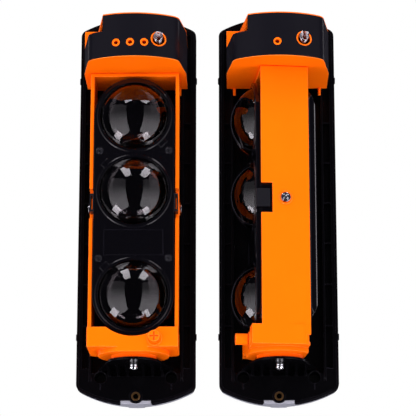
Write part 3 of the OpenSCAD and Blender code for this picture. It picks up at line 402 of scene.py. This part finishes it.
orange = (0.97, 0.145, 0.001)
# Orange plastic: a pale orange painted highlight on the edges, red painted shade in the recesses, and a weak
# orange-tinted specular.
orange_highlight_and_shade = {
    "edge": (1.0, 0.36, 0.07), "wear": 2.2, "deep": (0.9, 0.03, 0.0),
    "Specular_IOR_Level": 0.1, "Specular_Tint": (1.0, 0.4, 0.1, 1.0),
}
# Dark painted shade reaching far into the recesses, for the plunger that sits inside its spring.
shade_inside_coil = {"deep": (0.012, 0.003, 0.002), "reach": 4.0, "shaded": 2.5}
# Every finish paints a highlight on its edges and paints shade into its recesses. On the blacks the edge
# factor is large, so their edges show as pale painted highlight lines.
FINISHES = {
    # Near-black painted shade reaching 32 mm darkens the light grey plate where the base covers it and
    # through the access holes.
    "plate_grey": finish(
        "plate_light_grey", (0.33, 0.34, 0.38), 0.5, deep=(0.003, 0.003, 0.003), reach=32, shaded=1.3,
    ),
    # Pale painted highlight lines along the base's edges.
    "base_black": finish(
        "base_grained_black", (0.0011, 0.001, 0.0014), 0.26, bump=0.1, grain=2600, edge=26.0, wear=1.2,
        Specular_IOR_Level=0.08,
    ),
    # Dark painted shade inside the insert's bore.
    "insert_brass": finish(
        "insert_turned_brass", (0.40, 0.22, 0.085), 0.34, metallic=1.0, grain=900,
        deep=(0.006, 0.003, 0.001), reach=4.0, shaded=1.8,
    ),
    "head_orange": finish("head_moulded_orange", orange, 0.42, **orange_highlight_and_shade),
    "fascia_black": finish(
        "fascia_satin_black", (0.0048, 0.0045, 0.0068), 0.3, bump=0.03, edge=4.0, wear=0.5,
        Specular_IOR_Level=0.1,
    ),
    "board_green": finish("board_solder_mask", (0.012, 0.09, 0.03), 0.3, swing=0.2, grain=700, coat=0.4),
    "board_black": finish(
        "board_black_mask", (0.002, 0.002, 0.0025), 0.35, swing=0.2, grain=700, Specular_IOR_Level=0.1,
    ),
    "lamp_amber": finish("lamp_dark_red", (0.10, 0.006, 0.002), 0.2),
    "switch_black": finish("switch_body_black", (0.008, 0.008, 0.009), 0.4),
    "plunger_orange": finish("plunger_moulded_orange", orange, 0.36, **{**orange_highlight_and_shade, **shade_inside_coil}),
    "spring_steel": finish(
        "spring_bright_wire", (0.42, 0.42, 0.44), 0.16, metallic=1.0, grain=1500, bump=0.02,
    ),
    # The frame gets half as much painted shade in its recesses.
    "frame_orange": finish("frame_moulded_orange", orange, 0.38, shaded=0.5, **orange_highlight_and_shade),
    "screw_chrome": finish(
        "screw_bright_plate", (0.8, 0.81, 0.83), 0.16, metallic=1.0, grain=1200, bump=0.03,
    ),
    # Painted highlights along the edges of the lens rings and tabs.
    "optics_black": finish(
        "optics_satin_black", (0.0016, 0.0015, 0.0022), 0.1, swing=0.05, bump=0.015, edge=16.0, wear=1.2,
        Specular_IOR_Level=0.4,
    ),
    # Painted glints on the edges of the screw heads.
    "screw_black": finish("screw_blackened", (0.004, 0.004, 0.005), 0.14, grain=1200, edge=30.0, wear=1.0),
    "sight_black": finish(
        "sight_satin_black", (0.006, 0.006, 0.008), 0.34, edge=4.0, wear=0.6, Specular_IOR_Level=0.2,
    ),
    "sensor_black": finish("sensor_dark_window", (0.014, 0.006, 0.012), 0.1, coat=0.6),
    # Strong, short painted shade in the cross recess of the knob.
    "knob_orange": finish("knob_moulded_orange", orange, 0.36, reach=1.6, shaded=2.2, **orange_highlight_and_shade),
    "shaft_steel": finish("shaft_drawn_steel", (0.55, 0.56, 0.58), 0.28, metallic=1.0, grain=2200),
}
pale = (0.86, 0.86, 0.87)
floor_mesh.materials.append(finish(
    "floor_pale", pale, 0.7, bump=0.0, edge=1.0, wear=0.0, grain=40,
    Emission_Color=(*pale, 1.0), Emission_Strength=0.75,
))
print("finishes", len(FINISHES))

# %% [markdown]
# The lenses are clear moulded acrylic: they bend light, and their skin mirrors the studio. A shader with full
# transmission does both. Its base colour is a smoky grey, which light takes on as it goes in and again as it
# comes out. Only its roughness varies, by a faint haze.

# %% Clear acrylic
lens_clear = bpy.data.materials.new("lens_clear_acrylic")
lens_clear.use_nodes = True
lens_tree = lens_clear.node_tree
lens_shader = lens_tree.nodes["Principled BSDF"]
set_inputs(lens_shader, {
    "Base Color": (0.55, 0.5, 0.52, 1), "Transmission Weight": 1.0, "IOR": 1.49, "Specular IOR Level": 0.33,
})
haze = lens_tree.nodes.new("ShaderNodeGroup")
haze.node_tree = grain_group
set_inputs(haze, {"Roughness": 0.005, "Swing": 0.01})
lens_tree.links.new(haze.outputs["Roughness"], lens_shader.inputs["Roughness"])
FINISHES["lens_clear"] = lens_clear
print("clear", lens_clear.name)

# %% [markdown]
# Every node of the frame gets the finish of its slot. The record names both the slot and the moving body, so
# the pieces that are built anew further on look them up by the node they stand for.

# %% Dress the nodes
slot_of = {part["node"]: part["material_slot"] for part in frame["record"]["subparts"]}
bodies = frame["record"]["behaviour"]["bodies"]
body_of = {node: body for body, nodes in bodies.items() for node in nodes}
for node, piece in frame["nodes"].items():
    piece.data.materials.clear()
    piece.data.materials.append(FINISHES[slot_of[node]])
print("dressed", len(slot_of))

# %% [markdown]
# A mould can't make a knife edge, and the thin bright line along a rounded edge is what makes plastic look
# real. A bevel needs room, though: where two hard edges of a face lie closer than the bevel is wide, its new
# faces would cross. On the pieces with thin ribs and rings those cramped edges are found first and stay
# sharp, which no one sees at that size. A narrower bevel everywhere would lose the bright line instead.

# %% Edges with room for a bevel
HARD_ANGLE = radians(30)
NO_LENGTH = 0.0001 * mm

# In bevel widths: the longest stub, how far apart two edges are still compared, the room that two facing
# edges need, and the longest cramped edge that cramps its neighbours too.
STUB, SEARCH, ROOM, CHAIN = 1.2, 3, 2.2, 1.3

# How well the directions from two edges into their face may agree, as cosines: the least on a stub, the least
# at a corner, and the most between two edges that face each other.
STUB_BEND, NARROW_CORNER, SAME_WAY = cos(radians(25)), -cos(radians(40)), 0.3


def distance_to_edge(point, a, b):
    """Distance from a point to the stretch between a and b."""
    along = b - a
    share = max(0.0, min(1.0, (point - a).dot(along) / along.length_squared))
    return (point - a - along * share).length


def clash_on_face(first, second, width):
    """Whether two hard edges of a face leave no room between them."""
    edge, a, b, inward = first
    other, c, d, facing = second
    if set(edge.verts) & set(other.verts):
        stub = min(edge.calc_length(), other.calc_length()) < STUB * width
        return inward.dot(facing) < (STUB_BEND if stub else NARROW_CORNER)
    between = (c + d - a - b) / 2
    far = SEARCH * width + (edge.calc_length() + other.calc_length()) / 2
    if between.length > far or inward.dot(facing) > SAME_WAY:
        return False
    if between.dot(inward) <= 0 or between.dot(facing) >= 0:
        return False
    gaps = [distance_to_edge(point, c, d) for point in (a, b)]
    gaps += [distance_to_edge(point, a, b) for point in (c, d)]
    return min(gaps) < ROOM * width


def roomy_edges(shape, width):
    """The hard edges that a bevel of this width fits."""
    shape.normal_update()
    hard = {
        edge for edge in shape.edges
        if len(edge.link_faces) == 2 and edge.calc_face_angle(0.0) > HARD_ANGLE
    }
    cramped = set()
    for face in shape.faces:
        rim = []
        for loop in face.loops:
            a, b = loop.vert.co, loop.link_loop_next.vert.co
            if loop.edge in hard and (b - a).length > NO_LENGTH:
                rim.append((loop.edge, a, b, face.normal.cross(b - a).normalized()))
        for i, first in enumerate(rim):
            for second in rim[i + 1:]:
                if clash_on_face(first, second, width):
                    cramped |= {first[0], second[0]}
    while True:
        short = [edge for edge in cramped if edge.calc_length() < CHAIN * width]
        near = {edge for stub in short for vert in stub.verts for edge in vert.link_edges}
        more = near & (hard - cramped)
        if not more:
            return hard - cramped
        cramped |= more


print("hard from", round(HARD_ANGLE * 180 / pi), "degrees")

# %% [markdown]
# The two units share every length. Only the side they hang on and the way their lens units face differ, so
# one small table and one matrix carry the lens rings and the lenses to their places.

# %% Where the two units stand
UNITS = {"receiver": (-1, 0.0), "transmitter": (1, radians(-84))}
HALF_SPACING = 45.5 * mm
PAN_AXIS = -45.5 * mm
LENS = {"radius": 21.5 * mm, "height": 13.4 * mm, "seat": 1.0 * mm, "front": 17.0 * mm}
LENS_HEIGHTS = {"lower": -67.5 * mm, "middle": -1.0 * mm, "upper": 48.0 * mm}
RING = {"radii": (21.6 * mm, 23.8 * mm), "front": 17.6 * mm}
OFF_PLANE, OFF_CIRCLE = 0.01 * mm, 0.02 * mm


def on_unit(unit):
    """Place and heading of a unit's lens unit, as a matrix."""
    side, turn = UNITS[unit]
    return Matrix.Translation((side * HALF_SPACING, PAN_AXIS, 0)) @ Matrix.Rotation(turn, 4, "Z")


def on_ring(unit, point):
    """Whether a point lies on the front rim of a lens ring."""
    place = on_unit(unit).inverted() @ point
    if abs(place.y + RING["front"]) > OFF_PLANE:
        return False
    distances = [Vector((place.x, place.z - z)).length for z in LENS_HEIGHTS.values()]
    return any(abs(away - radius) < OFF_CIRCLE for away in distances for radius in RING["radii"])


rim_point = Vector((RING["radii"][1], -RING["front"], LENS_HEIGHTS["middle"]))
print("ring found on", [unit for unit in UNITS if on_ring(unit, on_unit(unit) @ rim_point)])

# %% [markdown]
# Each moulding is copied, welded, freed of the inner edges of its flat faces, and its hard edges get a small
# bevel. A bevel in the shader would be quicker, but it would be lost to anyone who takes the mesh elsewhere.
# The rims of the lens rings get the widest one, because they draw the bright circles in the picture.
#
# Smooth shading bends the light over a bevel, and a weighted normal keeps it from bending over the large
# flat faces beside it.

# %% Soft edges on the mouldings
CREST = 0.55
CREST_STEPS, EDGE_STEPS = 4, 2
SAME_POINT, SAME_PLANE = 0.002 * mm, radians(0.6)
NO_AREA = 0.001 * mm
SHARP_ANGLE = radians(38)
EDGES = {
    "wall_plate": 0.3, "base": 0.25, "head_housing": 0.2, "head_fascia": 0.12, "swing_frame": 0.22,
    "lens_box": 0.3, "lens_panel": 0.16, "sight_windows": 0.1, "tilt_knob": 0.12, "tilt_screws": 0.14,
    "panel_screws": 0.1, "pan_screw": 0.12, "pan_washer": 0.12, "tamper_plunger": 0.15,
    "tilt_shaft": 0.1, "head_legs": 0.2, "indicator_lamps": 0.1, "indicator_lamp": 0.1,
}
CROWDED = ("wall_plate", "base", "swing_frame", "pan_screw", "lens_panel")
RINGED = "lens_panel"


def stand_for(piece, *nodes):
    """The piece takes the nodes' place, body and finish."""
    piece.data.materials.clear()
    piece.data.materials.append(FINISHES[slot_of[nodes[0]]])
    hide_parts(*nodes)
    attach(piece, body_of[nodes[0]])


def new_piece(name, mesh):
    piece = bpy.data.objects.new(name, mesh)
    bpy.context.scene.collection.objects.link(piece)
    return piece


def settle(piece):
    """The piece's modifiers become its mesh."""
    bpy.context.view_layer.update()
    evaluated = piece.evaluated_get(bpy.context.evaluated_depsgraph_get())
    made = bpy.data.meshes.new_from_object(evaluated)
    piece.modifiers.clear()
    piece.data = made


def shaded_smooth(mesh):
    mesh.shade_smooth()
    mesh.set_sharp_from_angle(angle=SHARP_ANGLE)


def welded(mesh):
    """Drops the faces that a bevel leaves without area."""
    shape = bmesh.new()
    shape.from_mesh(mesh)
    bmesh.ops.remove_doubles(shape, verts=shape.verts, dist=NO_AREA)
    bmesh.ops.dissolve_degenerate(shape, edges=shape.edges, dist=NO_AREA)
    shape.to_mesh(mesh)
    shape.free()


def softened(unit, kind, width):
    """A copy of a unit's node with a bevel of this width, in mm, on its hard edges."""
    node = f"{unit}_{kind}"
    crowded, ringed = kind in CROWDED, kind == RINGED
    shape = bmesh.new()
    shape.from_mesh(frame["nodes"][node].data)
    bmesh.ops.remove_doubles(shape, verts=shape.verts, dist=SAME_POINT)
    bmesh.ops.dissolve_limit(shape, angle_limit=SAME_PLANE, verts=shape.verts, edges=shape.edges)
    bmesh.ops.recalc_face_normals(shape, faces=shape.faces)
    if crowded:
        weight = shape.edges.layers.float.new("bevel_weight_edge")
        for edge in roomy_edges(shape, width * mm):
            edge[weight] = width / CREST
        for edge in shape.edges:
            if ringed and all(on_ring(unit, vert.co) for vert in edge.verts):
                edge[weight] = 1.0
    mesh = bpy.data.meshes.new(f"{node}_soft")
    shape.to_mesh(mesh)
    shape.free()
    piece = new_piece(f"{node}_soft", mesh)
    bevel = piece.modifiers.new("soft_edges", "BEVEL")
    bevel.width = (CREST if crowded else width) * mm
    bevel.segments = CREST_STEPS if ringed else EDGE_STEPS
    bevel.limit_method = "WEIGHT" if crowded else "ANGLE"
    bevel.angle_limit = HARD_ANGLE
    bevel.use_clamp_overlap = False
    settle(piece)
    welded(piece.data)
    shaded_smooth(piece.data)
    flats = piece.modifiers.new("flat_faces_stay_flat", "WEIGHTED_NORMAL")
    flats.keep_sharp = True
    settle(piece)
    stand_for(piece, node)
    return piece


for unit in UNITS:
    for kind, width in EDGES.items():
        if f"{unit}_{kind}" in frame["nodes"]:
            piece = softened(unit, kind, width)
            print(piece.name, len(piece.data.polygons), "faces")

# %% [markdown]
# A lens has a flat back and a steep dome. Its mirror image of the studio shows every facet, so it is built
# anew, as a profile spun in fine steps, from the lens's own radius and height. Part of a ready-made sphere
# would do too, but its rings of faces wouldn't end where the lens does.

# %% Lens domes
ON_AXIS = 1e-9
DOME_STEPS, DOME_TURNS = 40, 128


def spun(name, profile, steps):
    """A profile of (radius, forward) points turned about -Y. It ends on the axis or where it began."""
    closed = profile[0] == profile[-1]
    shape = bmesh.new()
    rings = []
    for radius, forward in profile[:-1] if closed else profile:
        if radius < ON_AXIS:
            rings.append([shape.verts.new((0, -forward, 0))] * steps)
        else:
            turns = [2 * pi * i / steps for i in range(steps)]
            rings.append([shape.verts.new((radius * cos(a), -forward, radius * sin(a))) for a in turns])
    if closed:
        rings.append(rings[0])
    for low, high in zip(rings, rings[1:]):
        for i in range(steps):
            k = (i + 1) % steps
            corners = [low[i], low[k], high[k], high[i]]
            shape.faces.new([v for n, v in enumerate(corners) if v not in corners[:n]])
    bmesh.ops.recalc_face_normals(shape, faces=shape.faces)
    mesh = bpy.data.meshes.new(name)
    shape.to_mesh(mesh)
    shape.free()
    shaded_smooth(mesh)
    return mesh


dome = (LENS["radius"] ** 2 + LENS["height"] ** 2) / (2 * LENS["height"])
half_angle = asin(LENS["radius"] / dome)
profile = [(0, -LENS["seat"]), (LENS["radius"], -LENS["seat"])]
for i in range(DOME_STEPS + 1):
    angle = half_angle * (1 - i / DOME_STEPS)
    profile.append((dome * sin(angle), dome * (cos(angle) - 1) + LENS["height"]))
profile = [(radius, forward + LENS["front"]) for radius, forward in profile]
for unit in UNITS:
    for which, z in LENS_HEIGHTS.items():
        mesh = spun(f"{unit}_lens_{which}_dome", profile, DOME_TURNS)
        mesh.transform(on_unit(unit) @ Matrix.Translation((0, 0, z)))
        stand_for(new_piece(mesh.name, mesh), f"{unit}_lens_{which}")
print("dome radius", round(dome / mm, 1), "mm")

# %% [markdown]
# The brass insert for the cover's screw is spun too. Its mouth is countersunk and its bore carries the crests
# of a thread, which keep the light out and make the hole read as black. The crests are rings and not a helix,
# because the eye can't tell at this pitch and rings close without a seam.

# %% Threaded inserts
INSERT = {
    "radius": 2.9 * mm, "chamfer": 0.15 * mm, "mouth": 0.35 * mm,
    "bore": 1.45 * mm, "root": 1.75 * mm, "pitch": 0.5 * mm,
}
INSERT_TURNS = 64


def insert_outline(length):
    """Half the insert's section: mouth, outside and back, and then the bore with its crests."""
    radius, chamfer, mouth, bore, root, pitch = INSERT.values()
    outline = [
        (bore + mouth, 0), (radius - chamfer, 0), (radius, -chamfer), (radius, -length), (bore, -length),
    ]
    for crest in range(int((length - 2 * mouth) / pitch), 0, -1):
        depth = mouth + crest * pitch
        outline += [(root, -depth), (bore, -depth + pitch / 2)]
    return outline + outline[:1]


for unit in UNITS:
    low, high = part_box(f"{unit}_cover_insert")
    mesh = spun(f"{unit}_insert_threaded", insert_outline(high[1] - low[1]), INSERT_TURNS)
    mesh.transform(Matrix.Translation(((low[0] + high[0]) / 2, low[1], (low[2] + high[2]) / 2)))
    stand_for(new_piece(mesh.name, mesh), f"{unit}_cover_insert")
    print(mesh.name, len(mesh.polygons), "faces")

# %% [markdown]
# The tamper spring is one bright wire wound into a cone, with its wide end out. Geometry Nodes winds it: a
# spiral swept with a small circle. A screw modifier would wind an even coil, not a cone. The same group makes
# both springs, and its inputs are their real sizes.

# %% Tamper springs
SPRING = {"Turns": 5.0, "Narrow": 1.7 * mm, "Wide": 2.75 * mm, "Length": 10.0 * mm, "Wire": 0.35 * mm}
STEPS_PER_TURN = 40
WIRE_SIDES = 16

coil_group = bpy.data.node_groups.new("wound_cone", "GeometryNodeTree")
coil_face = coil_group.interface
for label, value in SPRING.items():
    coil_face.new_socket(label, in_out="INPUT", socket_type="NodeSocketFloat").default_value = value
material_input = coil_face.new_socket("Material", in_out="INPUT", socket_type="NodeSocketMaterial")
coil_face.new_socket("Mesh", in_out="OUTPUT", socket_type="NodeSocketGeometry")

coil_in = coil_group.nodes.new("NodeGroupInput")
spiral = coil_group.nodes.new("GeometryNodeCurveSpiral")
section = coil_group.nodes.new("GeometryNodeCurvePrimitiveCircle")
sweep = coil_group.nodes.new("GeometryNodeCurveToMesh")
real = coil_group.nodes.new("GeometryNodeRealizeInstances")
painted = coil_group.nodes.new("GeometryNodeSetMaterial")
coil_out = coil_group.nodes.new("NodeGroupOutput")
spiral.inputs["Resolution"].default_value = STEPS_PER_TURN
section.inputs["Resolution"].default_value = WIRE_SIDES
sweep.inputs["Fill Caps"].default_value = True
for source, output, target, socket in (
    (coil_in, "Turns", spiral, "Rotations"), (coil_in, "Narrow", spiral, "Start Radius"),
    (coil_in, "Wide", spiral, "End Radius"), (coil_in, "Length", spiral, "Height"),
    (coil_in, "Wire", section, "Radius"), (spiral, "Curve", sweep, "Curve"),
    (section, "Curve", sweep, "Profile Curve"), (sweep, "Mesh", real, "Geometry"),
    (real, "Geometry", painted, "Geometry"), (coil_in, "Material", painted, "Material"),
    (painted, "Geometry", coil_out, "Mesh"),
):
    coil_group.links.new(source.outputs[output], target.inputs[socket])

for unit in UNITS:
    spring = new_piece(f"{unit}_tamper_wire", bpy.data.meshes.new(f"{unit}_tamper_wire"))
    winding = spring.modifiers.new("winding", "NODES")
    winding.node_group = coil_group
    winding[material_input.identifier] = FINISHES["spring_steel"]
    settle(spring)
    low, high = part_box(f"{unit}_tamper_plunger")
    narrow_end = ((low[0] + high[0]) / 2, low[1] - SPRING["Wire"], (low[2] + high[2]) / 2)
    spring.data.transform(Matrix.Translation(narrow_end) @ Matrix.Rotation(pi / 2, 4, "X"))
    spring.data.shade_smooth()
    stand_for(spring, f"{unit}_tamper_spring")
    print(spring.name, len(spring.data.vertices), "points")

# %% [markdown]
# The box around the finished pieces, without the floor, is found last.

# %% The finished box
low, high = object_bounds()
